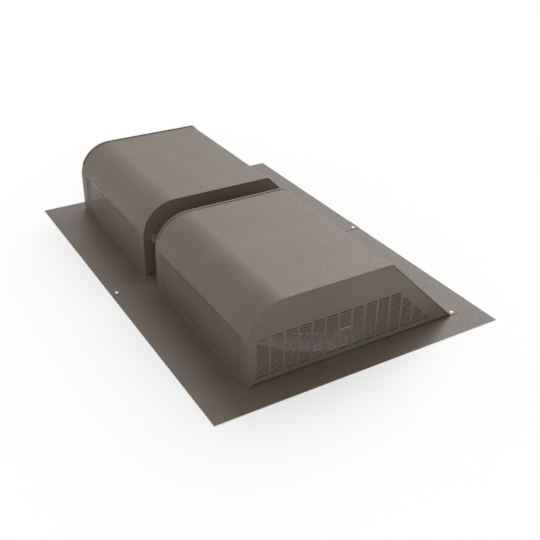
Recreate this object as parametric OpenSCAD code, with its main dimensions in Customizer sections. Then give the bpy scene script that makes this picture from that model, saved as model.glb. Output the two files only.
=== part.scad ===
// Twin slant back roof vent in painted sheet metal.
// Two louvred hoods stand side by side on a base flashing made of two lapped sheets.
// The origin is the bottom centre of the flashing, X runs along the pair of hoods,
// the fronts of the hoods look towards minus Y and Z is up.

/* [Base flashing] */
// Depth of both flashing sheets from front to back
flash_depth = 508; // [490:1:640]
// Thickness of the flashing sheets
flash_t = 0.8; // [0.5:0.1:1.5]
// Flashing in front of the hoods
front_margin = 75.5; // [50:0.5:90]
// Flashing beyond the left hood
left_margin = 29; // [22:1:80]
// Flashing beyond the right hood
right_margin = 45; // [22:1:80]
// Clear space between the two hoods
hood_gap = 49; // [46:1:120]
// Distance from the left hood to the visible seam of the sheets
seam_offset = 34; // [32:0.5:40]
// Width of the lap under the seam
seam_lap = 25; // [16:0.5:25]
// Length of the step that lifts the left sheet over the right one
step_run = 4; // [2:0.5:5]

/* [Hoods] */
// Length of each hood along the pair
hood_len = 309; // [290:1:420]
// Depth of each hood at its foot
hood_depth = 376; // [330:1:400]
// Height of each hood above the flashing
hood_h = 132; // [115:1:160]
// Outer radius of the rounded front
nose_r = 61; // [50:0.5:63]
// Angle of the slant back above the flashing
slant_angle = 45; // [40:1:55]
// Outer radius of the bend between the top and the slant
crest_r = 6; // [3:0.5:12]
// Thickness of the hood sheet
skin_t = 0.7; // [0.5:0.1:1.2]
// Width of the flange behind the slant
back_flange = 16; // [12:1:25]
// Width of the flange turned in under the front
front_flange = 10; // [6:1:20]
// Width of the hem round each end of the hood
hem_w = 3.6; // [2.5:0.1:8]
// How far the hem stands proud of the hood
hem_rise = 1.1; // [0.6:0.1:2]
// Height above the flashing where the hem starts on the rounded front
hem_start = 95; // [80:1:105]

/* [End panels] */
// Thickness of the end panels
panel_t = 0.7; // [0.5:0.1:1.2]
// How far the end panels sit back from the ends of the hood
panel_recess = 1; // [0.4:0.1:3]
// Width of the flange round each end panel
panel_flange = 8; // [5:0.5:14]
// Gap between the end panel flange and the hood sheet
panel_gap = 0.1; // [0.05:0.05:0.4]
// Lift of the end panel above the flashing
panel_lift = 3.2; // [1.5:0.1:6]
// Width of the foot at the front corner of each end panel
foot_w = 8; // [5:0.5:14]

/* [Louvres] */
// Slits in each column of louvres
slit_rows = 16; // [6:1:16]
// Distance from one slit to the next
slit_pitch = 4.22; // [3.6:0.01:4.4]
// Height of the lowest slit above the flashing
slit_start = 11.9; // [11:0.1:16]
// Width of a louvre blade across the sheet
blade_w = 2.2; // [1.6:0.1:2.6]
// Lean of the blades, bottom edge outwards
blade_tilt = 14; // [0:1:30]
// Width of the rib between two columns
rib_w = 3.6; // [2.5:0.1:8]
// Columns of louvres across the front of a hood
front_cols = 11; // [4:1:11]
// Distance from one front column to the next
front_pitch = 24.5; // [18:0.1:25]
// Columns of louvres along each end of a hood
end_cols = 14; // [6:1:14]
// Distance from one end column to the next
end_pitch = 23.3; // [16:0.1:24]
// Distance from the front of the hood to the first end column
end_inset = 15.5; // [13:0.5:30]
// Solid band between the slant and the end louvres
slant_band = 23.5; // [16:0.5:40]
// Shortest slit that is cut beside the slant
min_slit = 4; // [3:0.5:10]

/* [Throats] */
// Bore of the throat collars
throat_d = 250; // [150:1:260]
// Height of the throat collars above the flashing
collar_h = 26; // [15:1:45]
// Thickness of the collar sheet
collar_t = 0.7; // [0.5:0.1:1.2]
// Width of the collar flange on the flashing
collar_flange = 14; // [8:1:16]
// Radius of the rolled bead on the collar's rim
rim_bead_r = 1.6; // [1:0.1:3]
// Gap round the collar in its hole
collar_gap = 0.3; // [0.1:0.1:1]

/* [Rivets] */
// Diameter of a rivet head
rivet_head_d = 6.4; // [5:0.1:10]
// Height of a rivet head
rivet_head_h = 1.3; // [1:0.1:2.5]
// Diameter of a rivet shank
rivet_d = 3.2; // [2.4:0.1:4.8]
// Gap round a rivet shank in its hole
rivet_gap = 0.1; // [0.05:0.05:0.3]
// Distance from a rivet to the seam or to the end of a hood
rivet_edge = 6.5; // [5:0.5:9]
// Distance from a seam rivet to the front or back edge of the flashing
rivet_inset = 11; // [8:0.5:25]

/* [Hidden] */
$fn = 96;

// Facets of the throats and of the beads on their rims
throat_facets = 180;
bead_facets = 32;

// Finishes
bronze_paint = [0.42, 0.38, 0.34];
flashing_paint = [0.38, 0.34, 0.31];
bare_metal = [0.76, 0.77, 0.78];
rivet_metal = [0.70, 0.68, 0.65];

// Overlap that keeps a cut or a joined piece from ending exactly on a face
over = 1;
sink = 0.1;

// Places along X
total_len = left_margin + hood_len + hood_gap + hood_len + right_margin;
left_x = -total_len / 2;
right_x = total_len / 2;
hood_left_x = left_x + left_margin;
hood_right_x = right_x - right_margin - hood_len;
seam_x = hood_left_x + hood_len + seam_offset;
lap_x = seam_x - seam_lap;
step_clear = 0.5;

// Places along Y
front_edge = -flash_depth / 2;
front_y = front_edge + front_margin;
back_y = front_y + hood_depth;
throat_y = front_y + hood_depth / 2;
nose_y = front_y + nose_r;

// Heights
foot_z = flash_t;
top_z = foot_z + hood_h;
nose_z = top_z - nose_r;
crest_z = top_z - crest_r;
panel_z = foot_z + panel_lift;
slit_h = slit_pitch - blade_w;
slit_z = foot_z + slit_start;
field_h = (slit_rows - 1) * slit_pitch + slit_h;

// Louvre fields
front_field = front_cols * front_pitch - rib_w;
front_side = (hood_len - front_field) / 2;
front_slit = front_pitch - rib_w;
end_slit = end_pitch - rib_w;
panel_edge = skin_t + panel_gap;

// Distance along Y of the slant at height z, with the hood grown by off
function slant_y(z, off) = back_y + off / sin(slant_angle) - (z - foot_z) / tan(slant_angle);

// Middle of the bend between the top and the slant
// It stands slightly back so that the bend crosses the slant cleanly
crest_overlap = 0.003;
crest_y = slant_y(top_z, 0) - crest_r * tan(slant_angle / 2) + crest_overlap;

// Height of the bottom of slit number row
function row_z(row) = slit_z + row * slit_pitch;

// Start of end column number col
function col_y(col) = front_y + end_inset + col * end_pitch;

// Length of an end slit in a row, cut short by the band beside the slant
function slit_len(col, row) =
    min(end_slit, slant_y(row_z(row) + slit_h, -slant_band) - col_y(col));

// Number of rows in an end column whose slits are long enough to cut
function rows_in(col) = len([for (row = [0:slit_rows - 1]) if (slit_len(col, row) >= min_slit) row]);

// Number of rows in an end column that run its full width
function full_rows(col) = len([for (row = [0:slit_rows - 1]) if (slit_len(col, row) >= end_slit) row]);

// Outline of the hood from the side, grown by off and starting at height base
module hood_outline(off, base = foot_z) {
    bend_end = crest_z + (crest_r + off) * cos(slant_angle);
    polygon([
        [front_y - off, base],
        [front_y - off, nose_z],
        [nose_y, nose_z],
        [nose_y, top_z + off],
        [crest_y, top_z + off],
        [slant_y(bend_end, off), bend_end],
        [slant_y(base, off), base]
    ]);
    translate([nose_y, nose_z]) circle(r = nose_r + off);
    translate([crest_y, crest_z]) circle(r = crest_r + off);
}

// Turns a side outline so that it runs along X from x for a length
module along_x(x, length) {
    translate([x, 0, 0]) rotate([90, 0, 90]) linear_extrude(height = length) children();
}

// Hood sheet from the side, with its flange behind the slant
// The flange starts halfway through the foot of the slant
module skin_section() {
    difference() {
        hood_outline(0);
        hood_outline(-skin_t, foot_z - over);
    }
    flange_y = (slant_y(foot_z, -skin_t) + slant_y(foot_z + skin_t, 0)) / 2;
    translate([flange_y, foot_z]) square([back_y + back_flange - flange_y, skin_t]);
}

// Raised hem over the rounded front, the top and the slant
module hem_section() {
    difference() {
        hood_outline(hem_rise);
        hood_outline(-skin_t, foot_z - over);
        translate([front_y - hem_rise - over, foot_z - over])
            square([nose_r, hem_start + over]);
    }
}

// One leaning blade, its middle at the origin and its bottom edge towards minus Y
module front_blade(length) {
    translate([0, -skin_t / 2, 0]) rotate([-blade_tilt, 0, 0])
        translate([-sink, -skin_t / 2, -blade_w / 2])
            cube([length + 2 * sink, skin_t, blade_w]);
}

// One leaning blade for an end panel, its bottom edge towards plus X
module end_blade(length) {
    rotate([0, -blade_tilt, 0])
        translate([-panel_t / 2, -sink, -blade_w / 2])
            cube([panel_t, length + 2 * sink, blade_w]);
}

// Hood sheet with its louvred front, its hems and its flanges
module hood(x) {
    first = x + front_side;
    difference() {
        union() {
            along_x(x, hood_len) skin_section();
            along_x(x, hem_w) hem_section();
            along_x(x + hood_len - hem_w, hem_w) hem_section();
            translate([x + panel_recess + panel_flange + over, front_y, foot_z])
                cube([hood_len - 2 * (panel_recess + panel_flange + over), front_flange, skin_t]);
        }
        for (col = [0:front_cols - 1])
            translate([first + col * front_pitch, front_y - over, slit_z])
                cube([front_slit, skin_t + 2 * over, field_h]);
        for (end = [x + rivet_edge, x + hood_len - rivet_edge])
            rivet_hole(end, back_y + back_flange / 2);
    }
    for (col = [0:front_cols - 1], row = [0:slit_rows - 2])
        translate([
            first + col * front_pitch,
            front_y + skin_t,
            row_z(row) + slit_h + blade_w / 2
        ])
            front_blade(front_slit);
}

// Sheet of an end panel from the side
module panel_outline() {
    intersection() {
        hood_outline(-panel_edge);
        translate([front_y, panel_z]) square([hood_depth, hood_h]);
    }
    translate([front_y + panel_edge, foot_z]) square([foot_w, panel_lift + over]);
}

// Flange round an end panel from the side
module panel_rim() {
    difference() {
        hood_outline(-panel_edge);
        hood_outline(-panel_edge - panel_t, foot_z - over);
        translate([front_y, foot_z - over]) square([hood_depth, panel_lift + over]);
    }
}

// Openings of one end column, full rows first and then the shortened rows
module end_openings(col) {
    full = full_rows(col);
    rows = rows_in(col);
    if (full > 0)
        translate([-panel_t - over, col_y(col), slit_z])
            cube([panel_t + 2 * over, end_slit, (full - 1) * slit_pitch + slit_h]);
    if (rows > full)
        for (row = [full:rows - 1])
            translate([-panel_t - over, col_y(col), row_z(row) - (row > 0 ? blade_w : 0)])
                cube([panel_t + 2 * over, slit_len(col, row), slit_h + (row > 0 ? blade_w : 0)]);
}

// End panel with its outer face on the YZ plane and its flange towards minus X
module end_panel() {
    difference() {
        union() {
            along_x(-panel_t, panel_t) panel_outline();
            along_x(-panel_flange, panel_flange) panel_rim();
        }
        for (col = [0:end_cols - 1]) end_openings(col);
    }
    for (col = [0:end_cols - 1])
        if (rows_in(col) > 1)
            for (row = [0:rows_in(col) - 2])
                translate([-panel_t / 2, col_y(col), row_z(row) + slit_h + blade_w / 2])
                    end_blade(slit_len(col, row + 1));
}

// End panel that looks towards plus X, for the right end of a hood that starts at x
module right_end(x) {
    color(bronze_paint) translate([x + hood_len - panel_recess, 0, 0]) end_panel();
}

// End panel that looks towards minus X, for the left end of a hood that starts at x
module left_end(x) {
    color(bronze_paint) translate([x + panel_recess, 0, 0]) mirror([1, 0, 0]) end_panel();
}

// Hole for a rivet shank, through every sheet at that place
module rivet_hole(x, y) {
    translate([x, y, -over])
        cylinder(d = rivet_d + 2 * rivet_gap, h = 2 * flash_t + skin_t + 2 * over);
}

// Domed rivet whose head sits at height z and whose shank ends level with the base
module rivet(x, y, z) {
    dome_r = (rivet_head_d * rivet_head_d / 4 + rivet_head_h * rivet_head_h) / (2 * rivet_head_h);
    color(rivet_metal) translate([x, y, z]) rotate_extrude() {
        intersection() {
            translate([0, rivet_head_h - dome_r]) circle(r = dome_r);
            square([rivet_head_d, rivet_head_h]);
        }
        translate([0, -z]) square([rivet_d / 2, z + rivet_head_h / 2]);
    }
}

// Rivets of the hood that starts at x
module hood_rivet(x) {
    rivet(x, back_y + back_flange / 2, foot_z + skin_t);
}

// Hole in the flashing for the collar of the hood that starts at x
module throat_hole(x) {
    translate([x + hood_len / 2, throat_y, -over])
        cylinder(r = throat_d / 2 + collar_t + collar_gap, h = flash_t + 2 * over, $fn = throat_facets);
}

// Throat collar of the hood that starts at x
module throat_collar(x) {
    r = throat_d / 2;
    rim_z = foot_z + collar_h - rim_bead_r;
    color(bare_metal) translate([x + hood_len / 2, throat_y, 0])
        rotate_extrude($fn = throat_facets) {
            translate([r, 0]) square([collar_t, rim_z]);
            translate([r, foot_z]) square([collar_flange, collar_t]);
            translate([r + rim_bead_r, rim_z]) circle(r = rim_bead_r, $fn = bead_facets);
        }
}

// Right flashing sheet, which runs under the seam
module flashing_right() {
    color(flashing_paint) difference() {
        translate([lap_x, front_edge, 0]) cube([right_x - lap_x, flash_depth, flash_t]);
        throat_hole(hood_right_x);
        for (y = [front_edge + rivet_inset, -front_edge - rivet_inset])
            rivet_hole(seam_x - rivet_edge, y);
        for (end = [hood_right_x + rivet_edge, hood_right_x + hood_len - rivet_edge])
            rivet_hole(end, back_y + back_flange / 2);
    }
}

// Left flashing sheet, stepped up over the right one at the seam
module flashing_left() {
    step_end = lap_x - step_clear;
    step_start = step_end - step_run;
    color(flashing_paint) difference() {
        translate([0, -front_edge, 0]) rotate([90, 0, 0]) linear_extrude(height = flash_depth)
            polygon([
                [left_x, 0],
                [step_start, 0],
                [step_end, flash_t],
                [seam_x, flash_t],
                [seam_x, 2 * flash_t],
                [step_end - step_clear, 2 * flash_t],
                [step_start - step_clear, flash_t],
                [left_x, flash_t]
            ]);
        throat_hole(hood_left_x);
        for (y = [front_edge + rivet_inset, -front_edge - rivet_inset])
            rivet_hole(seam_x - rivet_edge, y);
        for (end = [hood_left_x + rivet_edge, hood_left_x + hood_len - rivet_edge])
            rivet_hole(end, back_y + back_flange / 2);
    }
}

module throat_collar_left() { throat_collar(hood_left_x); }
module throat_collar_right() { throat_collar(hood_right_x); }
module hood_left() { color(bronze_paint) hood(hood_left_x); }
module hood_right() { color(bronze_paint) hood(hood_right_x); }
module end_panel_left_outer() { left_end(hood_left_x); }
module end_panel_left_inner() { right_end(hood_left_x); }
module end_panel_right_inner() { left_end(hood_right_x); }
module end_panel_right_outer() { right_end(hood_right_x); }
module rivet_seam_front() { rivet(seam_x - rivet_edge, front_edge + rivet_inset, 2 * flash_t); }
module rivet_seam_back() { rivet(seam_x - rivet_edge, -front_edge - rivet_inset, 2 * flash_t); }
module rivet_left_outer() { hood_rivet(hood_left_x + rivet_edge); }
module rivet_left_inner() { hood_rivet(hood_left_x + hood_len - rivet_edge); }
module rivet_right_inner() { hood_rivet(hood_right_x + rivet_edge); }
module rivet_right_outer() { hood_rivet(hood_right_x + hood_len - rivet_edge); }

flashing_left();
flashing_right();
throat_collar_left();
throat_collar_right();
hood_left();
hood_right();
end_panel_left_outer();
end_panel_left_inner();
end_panel_right_inner();
end_panel_right_outer();
rivet_seam_front();
rivet_seam_back();
rivet_left_outer();
rivet_left_inner();
rivet_right_inner();
rivet_right_outer();
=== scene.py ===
"""Looks of a twin slant back roof vent in bronze painted sheet metal.

Two louvred hoods stand side by side on a base flashing made of two lapped sheets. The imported
model is the fixed frame. This script gives each sheet its finish, sets blind rivets in the place
of the plain ones, and lights and frames the vent. Lengths are in metres, in the model's frame.
"""

import logging
import math
from dataclasses import dataclass, field
from enum import Enum

import bpy
from mathutils import Matrix, Vector


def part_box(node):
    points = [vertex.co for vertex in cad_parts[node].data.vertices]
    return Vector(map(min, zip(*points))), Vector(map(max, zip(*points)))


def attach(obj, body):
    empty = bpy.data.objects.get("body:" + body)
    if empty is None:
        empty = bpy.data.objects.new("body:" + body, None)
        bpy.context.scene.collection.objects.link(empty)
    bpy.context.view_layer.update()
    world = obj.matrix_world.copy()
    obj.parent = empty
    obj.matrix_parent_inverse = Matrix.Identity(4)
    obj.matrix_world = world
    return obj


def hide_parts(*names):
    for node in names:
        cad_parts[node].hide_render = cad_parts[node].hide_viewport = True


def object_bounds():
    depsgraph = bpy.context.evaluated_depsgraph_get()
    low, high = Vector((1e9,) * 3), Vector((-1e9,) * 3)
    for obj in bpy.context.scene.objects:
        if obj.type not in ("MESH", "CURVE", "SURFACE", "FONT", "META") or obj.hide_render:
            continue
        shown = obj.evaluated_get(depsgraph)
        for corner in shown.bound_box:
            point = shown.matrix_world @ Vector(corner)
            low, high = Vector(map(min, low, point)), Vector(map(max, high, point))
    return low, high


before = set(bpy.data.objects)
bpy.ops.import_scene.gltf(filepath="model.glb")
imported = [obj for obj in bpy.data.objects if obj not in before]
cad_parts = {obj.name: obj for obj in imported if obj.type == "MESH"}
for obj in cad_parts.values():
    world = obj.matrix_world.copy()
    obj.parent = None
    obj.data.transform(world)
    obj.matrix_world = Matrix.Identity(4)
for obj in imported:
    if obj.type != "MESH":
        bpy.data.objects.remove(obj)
CAD_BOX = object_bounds()

BODY = "root"
Colour = tuple[float, float, float]
Point = tuple[float, float, float]
Value = float | int | bool | str | tuple | bpy.types.NodeSocket | bpy.types.Material

log = logging.getLogger("roof_vent")


class Side(Enum):
    """The two hoods of the pair, seen from the front."""

    LEFT = "left"
    RIGHT = "right"


class End(Enum):
    """The two ends of a hood: towards the edge of the flashing, or towards the other hood."""

    OUTER = "outer"
    INNER = "inner"


class Slot(Enum):
    """The record's material slots."""

    HOOD = "hood_paint"
    FLASHING = "flashing_paint"
    COLLAR = "bare_metal"
    RIVET = "rivet_metal"


@dataclass
class NodeWriter:
    """Writes the nodes of a shader or geometry tree.

    Attributes:
        tree: The node tree that is written to.
    """

    tree: bpy.types.NodeTree

    def add(
        self, kind: str, inputs: dict[str | int, Value] | None = None, **settings: Value
    ) -> bpy.types.Node:
        """Adds a node.

        Args:
            kind: The node's type name.
            inputs: Values or sockets for its inputs, by name or by number.
            **settings: The node's own properties.

        Returns:
            The new node.
        """
        node = self.tree.nodes.new(kind)
        for name, setting in settings.items():
            setattr(node, name, setting)
        for key, value in (inputs or {}).items():
            if isinstance(value, bpy.types.NodeSocket):
                self.tree.links.new(value, node.inputs[key])
            else:
                node.inputs[key].default_value = value
        return node

    def math(self, operation: str, *values: Value, clamp: bool = False) -> bpy.types.NodeSocket:
        """Adds a math node.

        Args:
            operation: The sum that it does, such as MULTIPLY.
            *values: Its numbers or sockets.
            clamp: Whether the result is kept from 0 to 1.

        Returns:
            The socket of the result.
        """
        node = self.add("ShaderNodeMath", dict(enumerate(values)), operation=operation, use_clamp=clamp)
        return node.outputs[0]

    def ramp(
        self, value: Value, low: float, high: float, to_low: float = 0.0, to_high: float = 1.0
    ) -> bpy.types.NodeSocket:
        """Maps a value from one range to another, with soft ends.

        Args:
            value: The socket that is mapped.
            low: Where the source range starts.
            high: Where the source range ends.
            to_low: The result at the start.
            to_high: The result at the end.

        Returns:
            The socket of the result.
        """
        inputs = {"Value": value, "From Min": low, "From Max": high, "To Min": to_low, "To Max": to_high}
        return self.add("ShaderNodeMapRange", inputs, interpolation_type="SMOOTHSTEP").outputs[0]

    def mix(self, factor: Value, first: Value, second: Value) -> bpy.types.NodeSocket:
        """Mixes two colours.

        Args:
            factor: Share of the second colour.
            first: The first colour or its socket.
            second: The second colour or its socket.

        Returns:
            The socket of the mixed colour.
        """
        node = self.add("ShaderNodeMix", {0: factor}, data_type="RGBA")
        for number, value in ((6, first), (7, second)):
            if isinstance(value, bpy.types.NodeSocket):
                self.tree.links.new(value, node.inputs[number])
            else:
                node.inputs[number].default_value = (*value, 1.0)
        return node.outputs[2]

    def noise(self, place: bpy.types.NodeSocket, grain: float, detail: float = 2.0) -> bpy.types.NodeSocket:
        """Adds a noise pattern.

        Args:
            place: The coordinates that it reads.
            grain: Size of one blotch in metres.
            detail: How many finer layers it has.

        Returns:
            The socket of the pattern's value.
        """
        inputs = {"Vector": place, "Scale": 1.0 / grain, "Detail": detail, "Roughness": 0.55}
        return self.add("ShaderNodeTexNoise", inputs).outputs[0]


def new_material(name: str) -> tuple[bpy.types.Material, NodeWriter, bpy.types.Node]:
    """Makes an empty material with a Principled shader.

    Args:
        name: The material's name.

    Returns:
        The material, the writer of its nodes and its shader.
    """
    material = bpy.data.materials.new(name)
    material.use_nodes = True
    material.node_tree.nodes.clear()
    writer = NodeWriter(material.node_tree)
    shader = writer.add("ShaderNodeBsdfPrincipled")
    writer.add("ShaderNodeOutputMaterial", {"Surface": shader.outputs[0]})
    return material, writer, shader


def lighter(colour: Colour, times: float) -> Colour:
    """Returns a colour with each part multiplied by times."""
    return tuple(min(part * times, 1.0) for part in colour)


@dataclass(frozen=True)
class PebblePaint:
    """Baked bronze paint with a fine pebbled skin on sheet metal.

    Attributes:
        name: The material's name.
        colour: Colour of the paint.
        roughness: How matt the paint is.
        shine: Strength of its reflections, as the shader's specular level.
        pebble: Size of one pebble of the skin.
        pebble_height: How far the pebbles stand out.
        cloud: Size of the soft blotches where the paint is thicker or thinner.
        edge_height: Height below which upright faces are cut edges of bare metal.
        edge_colour: Colour of the cut metal.
    """

    name: str
    colour: Colour
    roughness: float = 0.46
    shine: float = 0.5
    pebble: float = 0.0022
    pebble_height: float = 0.00012
    cloud: float = 0.09
    edge_height: float = 0.0
    edge_colour: Colour = (0.55, 0.53, 0.50)

    def material(self) -> bpy.types.Material:
        """Builds the material.

        Returns:
            The finished material.
        """
        material, writer, shader = new_material(self.name)
        coordinates = writer.add("ShaderNodeTexCoord")
        place = coordinates.outputs["Object"]
        blotches = writer.noise(place, self.cloud, 3.0)
        grain = writer.noise(place, self.pebble, 2.0)
        specks = writer.noise(place, 2.0 * self.pebble, 1.0)
        tone = writer.mix(
            writer.ramp(blotches, 0.35, 0.65), lighter(self.colour, 0.95), lighter(self.colour, 1.05)
        )
        # Painted light and shade: the same noise that raises the pebbles makes their tops lighter and their
        # hollows darker in colour.
        pebble_painted_shading = writer.mix(writer.ramp(grain, 0.30, 0.70), (0.90, 0.90, 0.90), (1.08, 1.08, 1.08))
        colour = writer.add(
            "ShaderNodeMix", {0: 1.0, 6: tone, 7: pebble_painted_shading}, data_type="RGBA", blend_type="MULTIPLY"
        ).outputs[2]
        rough = writer.ramp(specks, 0.3, 0.7, self.roughness - 0.05, self.roughness + 0.05)
        metal = 0.0
        if self.edge_height > 0:
            colour, metal = self.cut_edges(writer, coordinates, colour)
        writer.tree.links.new(colour, shader.inputs["Base Color"])
        writer.tree.links.new(rough, shader.inputs["Roughness"])
        if self.edge_height > 0:
            writer.tree.links.new(metal, shader.inputs["Metallic"])
        shader.inputs["Specular IOR Level"].default_value = self.shine
        cells = writer.add(
            "ShaderNodeTexVoronoi", {"Vector": place, "Scale": 1.0 / self.pebble, "Smoothness": 0.8},
            feature="SMOOTH_F1",
        ).outputs["Distance"]
        height = writer.math("SUBTRACT", grain, writer.math("MULTIPLY", cells, 0.6))
        bump = writer.add(
            "ShaderNodeBump", {"Strength": 0.6, "Distance": self.pebble_height, "Height": height}
        )
        writer.tree.links.new(bump.outputs[0], shader.inputs["Normal"])
        return material

    def cut_edges(
        self, writer: NodeWriter, coordinates: bpy.types.Node, paint: bpy.types.NodeSocket
    ) -> tuple[bpy.types.NodeSocket, bpy.types.NodeSocket]:
        """Shows bare metal on the cut edges of a flat sheet.

        Args:
            writer: The writer of the material's nodes.
            coordinates: The node that gives place and normal.
            paint: The colour of the paint.

        Returns:
            The sockets of the colour and of the share of bare metal.
        """
        normal = writer.add("ShaderNodeSeparateXYZ", {0: coordinates.outputs["Normal"]}).outputs[2]
        height = writer.add("ShaderNodeSeparateXYZ", {0: coordinates.outputs["Object"]}).outputs[2]
        upright = writer.math("LESS_THAN", writer.math("ABSOLUTE", normal), 0.5)
        low = writer.math("LESS_THAN", height, self.edge_height)
        edge = writer.math("MULTIPLY", upright, low)
        return writer.mix(edge, paint, self.edge_colour), writer.math("MULTIPLY", edge, 0.6)


@dataclass(frozen=True)
class BareSheet:
    """Unpainted sheet metal with fine rolling marks.

    Attributes:
        name: The material's name.
        colour: Colour of the metal.
        roughness: How dull the metal is.
        streak: Width of one rolling mark.
    """

    name: str
    colour: Colour = (0.76, 0.77, 0.78)
    roughness: float = 0.34
    streak: float = 0.0012

    def material(self) -> bpy.types.Material:
        """Builds the material.

        Returns:
            The finished material.
        """
        material, writer, shader = new_material(self.name)
        place = writer.add("ShaderNodeTexCoord").outputs["Object"]
        drawn = writer.add("ShaderNodeMapping", {"Vector": place, "Scale": (0.12, 0.12, 1.0)}).outputs[0]
        marks = writer.noise(drawn, self.streak, 3.0)
        stains = writer.noise(place, 30 * self.streak, 3.0)
        tone = writer.mix(
            writer.ramp(stains, 0.35, 0.65), lighter(self.colour, 0.86), lighter(self.colour, 1.04)
        )
        writer.tree.links.new(tone, shader.inputs["Base Color"])
        rough = writer.ramp(marks, 0.3, 0.7, self.roughness - 0.08, self.roughness + 0.08)
        writer.tree.links.new(rough, shader.inputs["Roughness"])
        shader.inputs["Metallic"].default_value = 1.0
        bump = writer.add("ShaderNodeBump", {"Strength": 0.25, "Distance": 0.00005, "Height": marks})
        writer.tree.links.new(bump.outputs[0], shader.inputs["Normal"])
        return material


@dataclass(frozen=True)
class StudioWhite:
    """A pale floor that the camera sees as white where no shadow falls.

    Attributes:
        name: The material's name.
        colour: Colour of the floor in the light.
        lift: White added to what the camera and reflections see of it.
    """

    name: str
    colour: Colour = (0.8, 0.8, 0.8)
    lift: float = 0.4

    def material(self, low: Vector, high: Vector) -> bpy.types.Material:
        """Builds the material.

        Args:
            low: Lowest corner of the vent's box. Nothing is added under the vent.
            high: Highest corner of the vent's box.

        Returns:
            The finished material.
        """
        material, writer, shader = new_material(self.name)
        shader.inputs["Base Color"].default_value = (*self.colour, 1.0)
        shader.inputs["Roughness"].default_value = 0.9
        shader.inputs["Specular IOR Level"].default_value = 0.0
        shader.inputs["Emission Color"].default_value = (1.0, 1.0, 1.0, 1.0)
        x, y, _ = writer.add(
            "ShaderNodeSeparateXYZ", {0: writer.add("ShaderNodeTexCoord").outputs["Object"]}
        ).outputs
        beyond = [writer.math("GREATER_THAN", x, high.x), writer.math("LESS_THAN", x, low.x),
                  writer.math("GREATER_THAN", y, high.y), writer.math("LESS_THAN", y, low.y)]
        open_floor = beyond[0]
        for side in beyond[1:]:
            open_floor = writer.math("MAXIMUM", open_floor, side)
        seen = writer.math("MULTIPLY", seen_rays(writer), writer.math("MULTIPLY", open_floor, self.lift))
        writer.tree.links.new(seen, shader.inputs["Emission Strength"])
        return material


def seen_rays(writer: NodeWriter) -> bpy.types.NodeSocket:
    """Tells the rays that show the background from those that light the vent.

    Args:
        writer: The writer of the nodes.

    Returns:
        A socket that is 1 for camera, glossy and transmission rays, and 0 for the others.
    """
    path = writer.add("ShaderNodeLightPath").outputs
    seen = writer.math("MAXIMUM", path["Is Camera Ray"], path["Is Glossy Ray"])
    return writer.math("MAXIMUM", seen, path["Is Transmission Ray"])


def dress(node: str, material: bpy.types.Material) -> None:
    """Gives a CAD node its finish.

    Args:
        node: The node's name.
        material: The finish.
    """
    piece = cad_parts[node]
    if not piece.material_slots:
        piece.data.materials.append(material)
    for slot in piece.material_slots:
        slot.material = material
    log.info("%s: %d triangles in %s", node, len(piece.data.polygons), material.name)


@dataclass
class Flashing:
    """The base flashing, two flat sheets lapped between the hoods.

    Attributes:
        paint: Finish of the sheets, with bare metal on their cut edges.
    """

    paint: PebblePaint = PebblePaint(
        "flashing_paint_pebbled", (0.152, 0.121, 0.093), edge_height=0.0018
    )

    def build(self) -> None:
        """Dresses both sheets."""
        finish = self.paint.material()
        for side in Side:
            dress(f"flashing_{side.value}", finish)


@dataclass
class Hood:
    """One louvred hood with its two end panels.

    Attributes:
        side: Which of the two hoods it is.
        finish: The paint of its sheets.
    """

    side: Side
    finish: bpy.types.Material

    def build(self) -> None:
        """Dresses the hood sheet and both end panels."""
        dress(f"hood_{self.side.value}", self.finish)
        for end in End:
            dress(f"end_panel_{self.side.value}_{end.value}", self.finish)


@dataclass
class Throats:
    """The bare collars that stand in the flashing under the hoods.

    Attributes:
        metal: Finish of the collars.
    """

    metal: BareSheet = BareSheet("collar_metal")

    def build(self) -> None:
        """Dresses both collars."""
        finish = self.metal.material()
        for side in Side:
            dress(f"throat_collar_{side.value}", finish)


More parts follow.
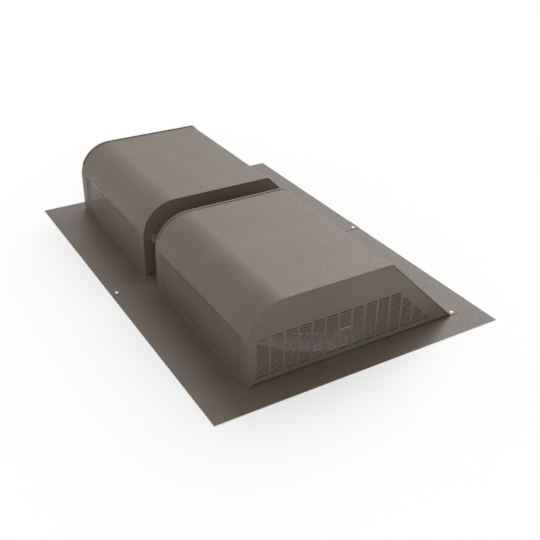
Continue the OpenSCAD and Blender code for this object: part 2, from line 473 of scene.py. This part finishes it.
@dataclass
class BlindRivets:
    """Blind rivets with a domed head, a hollow and the stub of their pulled stem.

    Attributes:
        metal: Finish of the rivets.
        sides: Number of sides of a head.
        rings: Number of rings from the middle of a head to its rim.
        shank_radius: Radius of the shank.
        seed: Seed of the turn that each rivet was set at.
        profile: Height of the head along its radius, both as shares from 0 to 1.
    """

    metal: BareSheet = BareSheet("rivet_metal_pulled", (0.78, 0.76, 0.74), 0.3, 0.0004)
    sides: int = 32
    rings: int = 16
    shank_radius: float = 0.0016
    seed: int = 7
    profile: tuple[tuple[float, float], ...] = (
        (0.0, 0.62), (0.20, 0.60), (0.24, 0.42), (0.30, 0.42), (0.38, 0.90),
        (0.50, 0.97), (0.70, 0.80), (0.90, 0.42), (1.0, 0.16),
    )
    nodes: tuple[str, ...] = field(
        default_factory=lambda: tuple(sorted(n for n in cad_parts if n.startswith("rivet_")))
    )

    def seats(self) -> tuple[list[Vector], float, float]:
        """Reads where the rivets sit from the CAD model.

        Returns:
            The middle of each head's underside, the heads' radius and their height.
        """
        boxes = [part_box(node) for node in self.nodes]
        radius = min(high.x - low.x for low, high in boxes) / 2
        shortest = min(high.z for _, high in boxes)
        head = shortest - min(self.sheet_top(node) for node in self.nodes)
        points = [Vector(((low.x + high.x) / 2, (low.y + high.y) / 2, high.z - head)) for low, high in boxes]
        return points, radius, head

    def sheet_top(self, node: str) -> float:
        """Returns the height of the sheet that a rivet's head sits on."""
        low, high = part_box(node)
        x, y = (low.x + high.x) / 2, (low.y + high.y) / 2
        tops = []
        for name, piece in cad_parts.items():
            if name.startswith(("hood_", "flashing_")):
                ring = [v.co.z for v in piece.data.vertices
                        if math.hypot(v.co.x - x, v.co.y - y) < 1.2 * self.shank_radius]
                tops += ring
        return max(tops)

    def tree(self) -> tuple[bpy.types.NodeTree, dict[str, str]]:
        """Writes the tree that sets one rivet on each point.

        Returns:
            The tree, and the identifier of each of its named inputs.
        """
        tree = bpy.data.node_groups.new("blind_rivets", "GeometryNodeTree")
        tree.interface.new_socket("Seats", in_out="INPUT", socket_type="NodeSocketGeometry")
        tree.interface.new_socket("Rivets", in_out="OUTPUT", socket_type="NodeSocketGeometry")
        kinds = {
            "Head Radius": "NodeSocketFloat", "Head Height": "NodeSocketFloat",
            "Shank Radius": "NodeSocketFloat", "Sides": "NodeSocketInt", "Rings": "NodeSocketInt",
            "Seed": "NodeSocketInt", "Finish": "NodeSocketMaterial",
        }
        names = {
            name: tree.interface.new_socket(name, in_out="INPUT", socket_type=kind).identifier
            for name, kind in kinds.items()
        }
        writer = NodeWriter(tree)
        given = writer.add("NodeGroupInput").outputs
        head = self.head(writer, given)
        shank = writer.add(
            "GeometryNodeMeshCylinder",
            {"Vertices": given["Sides"], "Radius": given["Shank Radius"], "Depth": 1.0},
        ).outputs["Mesh"]
        hung = writer.add(
            "GeometryNodeTransform", {"Geometry": shank, "Translation": (0, 0, -0.5)}
        ).outputs[0]
        turn = writer.add(
            "FunctionNodeRandomValue", {"Max": math.tau, "Seed": given["Seed"]}, data_type="FLOAT"
        ).outputs[1]
        spin = writer.add("ShaderNodeCombineXYZ", {"Z": turn}).outputs[0]
        place = writer.add("GeometryNodeInputPosition").outputs[0]
        depth = writer.add("ShaderNodeSeparateXYZ", {0: place}).outputs[2]
        reach = writer.add("ShaderNodeCombineXYZ", {"X": 1.0, "Y": 1.0, "Z": depth}).outputs[0]
        points = writer.add("GeometryNodeMeshToPoints", {"Mesh": given["Seats"]}).outputs[0]
        heads = writer.add(
            "GeometryNodeInstanceOnPoints", {"Points": points, "Instance": head, "Rotation": spin}
        ).outputs[0]
        shanks = writer.add(
            "GeometryNodeInstanceOnPoints", {"Points": points, "Instance": hung, "Scale": reach}
        ).outputs[0]
        both = writer.add("GeometryNodeJoinGeometry", {0: shanks})
        tree.links.new(heads, both.inputs[0])
        real = writer.add("GeometryNodeRealizeInstances", {0: both.outputs[0]}).outputs[0]
        smooth = writer.add("GeometryNodeSetShadeSmooth", {"Geometry": real}).outputs[0]
        angle = writer.add("GeometryNodeInputMeshEdgeAngle").outputs[0]
        sharp = writer.math("GREATER_THAN", angle, 0.8)
        creased = writer.add(
            "GeometryNodeSetShadeSmooth",
            {"Geometry": smooth, "Selection": sharp, "Shade Smooth": False}, domain="EDGE",
        ).outputs[0]
        done = writer.add("GeometryNodeSetMaterial", {"Geometry": creased, "Material": given["Finish"]})
        writer.add("NodeGroupOutput", {0: done.outputs[0]})
        return tree, names

    def head(self, writer: NodeWriter, given: bpy.types.NodeOutputs) -> bpy.types.NodeSocket:
        """Shapes one head from a disc whose height follows the profile.

        Args:
            writer: The writer of the tree's nodes.
            given: The tree's named inputs.

        Returns:
            The socket of the head, with the middle of its underside at the origin.
        """
        disc = writer.add(
            "GeometryNodeMeshCylinder",
            {"Vertices": given["Sides"], "Fill Segments": given["Rings"],
             "Radius": given["Head Radius"], "Depth": given["Head Height"]},
            fill_type="TRIANGLE_FAN",
        ).outputs["Mesh"]
        place = writer.add("GeometryNodeInputPosition").outputs[0]
        x, y, z = writer.add("ShaderNodeSeparateXYZ", {0: place}).outputs
        flat = writer.add("ShaderNodeCombineXYZ", {"X": x, "Y": y}).outputs[0]
        out = writer.add("ShaderNodeVectorMath", {0: flat}, operation="LENGTH").outputs["Value"]
        share = writer.math("DIVIDE", out, given["Head Radius"])
        curve = writer.add("ShaderNodeFloatCurve", {"Value": share})
        points = curve.mapping.curves[0].points
        while len(points) < len(self.profile):
            points.new(1.0, 1.0)
        for point, (across, up) in zip(points, self.profile):
            point.location = (across, up)
        curve.mapping.update()
        crown = writer.math("MULTIPLY", curve.outputs[0], given["Head Height"])
        upper = writer.math("GREATER_THAN", z, 0.0)
        height = writer.math("MULTIPLY", crown, upper)
        moved = writer.add("ShaderNodeCombineXYZ", {"X": x, "Y": y, "Z": height}).outputs[0]
        return writer.add("GeometryNodeSetPosition", {"Geometry": disc, "Position": moved}).outputs[0]

    def build(self) -> bpy.types.Object:
        """Builds all rivets as one piece in the place of the plain ones.

        Returns:
            The finished piece.
        """
        points, radius, height = self.seats()
        mesh = bpy.data.meshes.new("rivet_seats")
        mesh.from_pydata(points, [], [])
        piece = bpy.data.objects.new("blind_rivets", mesh)
        bpy.context.scene.collection.objects.link(piece)
        tree, names = self.tree()
        modifier = piece.modifiers.new("rivets", "NODES")
        modifier.node_group = tree
        sizes = {
            "Head Radius": radius, "Head Height": height, "Shank Radius": self.shank_radius,
            "Sides": self.sides, "Rings": self.rings, "Seed": self.seed, "Finish": self.metal.material(),
        }
        for name, value in sizes.items():
            modifier[names[name]] = value
        plain = bpy.data.meshes.new_from_object(
            piece.evaluated_get(bpy.context.evaluated_depsgraph_get())
        )
        piece.modifiers.remove(modifier)
        piece.data = plain
        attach(piece, BODY)
        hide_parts(*self.nodes)
        log.info("blind_rivets: %d rivets, %d faces", len(points), len(plain.polygons))
        return piece


@dataclass(frozen=True)
class SoftPanel:
    """A wide soft light from so far away that it is even over the whole vent.

    Attributes:
        name: The lamp's name.
        bearing_deg: Where it stands round the vent, from plus X towards plus Y.
        height_deg: How high it stands above the floor.
        spread_deg: How wide it looks from the vent.
        strength: Its light on a surface that faces it, in watts for each square metre.
    """

    name: str
    bearing_deg: float
    height_deg: float
    spread_deg: float
    strength: float

    def build(self) -> None:
        """Sets the lamp up."""
        bearing, height = math.radians(self.bearing_deg), math.radians(self.height_deg)
        towards = Vector((math.cos(bearing) * math.cos(height), math.sin(bearing) * math.cos(height),
                          math.sin(height)))
        lamp = bpy.data.lights.new(self.name, "SUN")
        lamp.angle = math.radians(self.spread_deg)
        lamp.energy = self.strength
        stand = bpy.data.objects.new(self.name, lamp)
        stand.rotation_euler = (-towards).to_track_quat("-Z", "Y").to_euler()
        bpy.context.scene.collection.objects.link(stand)


@dataclass(frozen=True)
class Viewpoint:
    """The camera of the picture that the vent is matched to.

    Attributes:
        place: Where the camera stands.
        target: The point in the middle of its picture.
        roll_deg: How far it is turned round its own axis.
        lens_mm: Its focal length on a 36 mm wide picture.
    """

    place: Point = (1.09097, -0.60864, 0.70782)
    target: Point = (0.05490, 0.01978, 0.0)
    roll_deg: float = 0.859
    lens_mm: float = 52.9

    def build(self) -> None:
        """Sets the camera up."""
        back = (Vector(self.place) - Vector(self.target)).normalized()
        level = Vector((0.0, 0.0, 1.0)).cross(back).normalized()
        over = back.cross(level)
        roll = math.radians(self.roll_deg)
        right = math.cos(roll) * level + math.sin(roll) * over
        up = math.cos(roll) * over - math.sin(roll) * level
        camera = bpy.data.objects.new("camera", bpy.data.cameras.new("camera"))
        camera.data.lens = self.lens_mm
        camera.data.sensor_width = 36.0
        turned = Matrix((right, up, back)).transposed().to_4x4()
        camera.matrix_world = Matrix.Translation(Vector(self.place)) @ turned
        bpy.context.scene.collection.objects.link(camera)
        bpy.context.scene.camera = camera


@dataclass
class Studio:
    """The pale floor, the even surroundings, the lamps and the camera.

    Attributes:
        view: The camera.
        floor: Finish of the floor.
        floor_width: Width of the floor.
        floor_drop: How far the floor lies below the flashing.
        ambient: Strength of the even light that comes from all round.
        lamps: The soft lamps.
    """

    view: Viewpoint = Viewpoint()
    floor: StudioWhite = StudioWhite("studio_floor")
    floor_width: float = 14.0
    floor_drop: float = 0.0003
    ambient: float = 0.45
    lamps: tuple[SoftPanel, ...] = (
        SoftPanel("back_panel", 125.0, 38.0, 50.0, 1.3),
        SoftPanel("side_panel", -25.0, 25.0, 60.0, 0.35),
    )

    def build(self) -> None:
        """Sets the studio up."""
        self.view.build()
        low, high = CAD_BOX
        for lamp in self.lamps:
            lamp.build()
        self.surroundings()
        half = self.floor_width / 2
        mesh = bpy.data.meshes.new("studio_floor")
        corners = [(x, y, low.z - self.floor_drop) for x, y in
                   ((-half, -half), (half, -half), (half, half), (-half, half))]
        mesh.from_pydata(corners, [], [(0, 1, 2, 3)])
        mesh.materials.append(self.floor.material(low, high))
        ground = bpy.data.objects.new("studio_floor", mesh)
        bpy.context.scene.collection.objects.link(ground)
        bpy.context.scene.view_settings.view_transform = "Standard"

    def surroundings(self) -> None:
        """Lights the vent evenly and shows white where the camera and reflections look past it."""
        world = bpy.data.worlds.new("surroundings")
        world.use_nodes = True
        world.node_tree.nodes.clear()
        writer = NodeWriter(world.node_tree)
        strength = writer.ramp(seen_rays(writer), 0.0, 1.0, self.ambient, 1.0)
        background = writer.add("ShaderNodeBackground", {"Color": (1.0, 1.0, 1.0, 1.0), "Strength": strength})
        writer.add("ShaderNodeOutputWorld", {"Surface": background.outputs[0]})
        bpy.context.scene.world = world


def main() -> None:
    """Builds the studio and every sub-assembly of the vent, in order."""
    logging.basicConfig(level=logging.INFO, format="%(name)s: %(message)s")
    Studio().build()
    paint = PebblePaint("hood_paint_pebbled", (0.175, 0.138, 0.102)).material()
    Flashing().build()
    for side in Side:
        Hood(side, paint).build()
    Throats().build()
    BlindRivets().build()


if __name__ == "__main__":
    main()
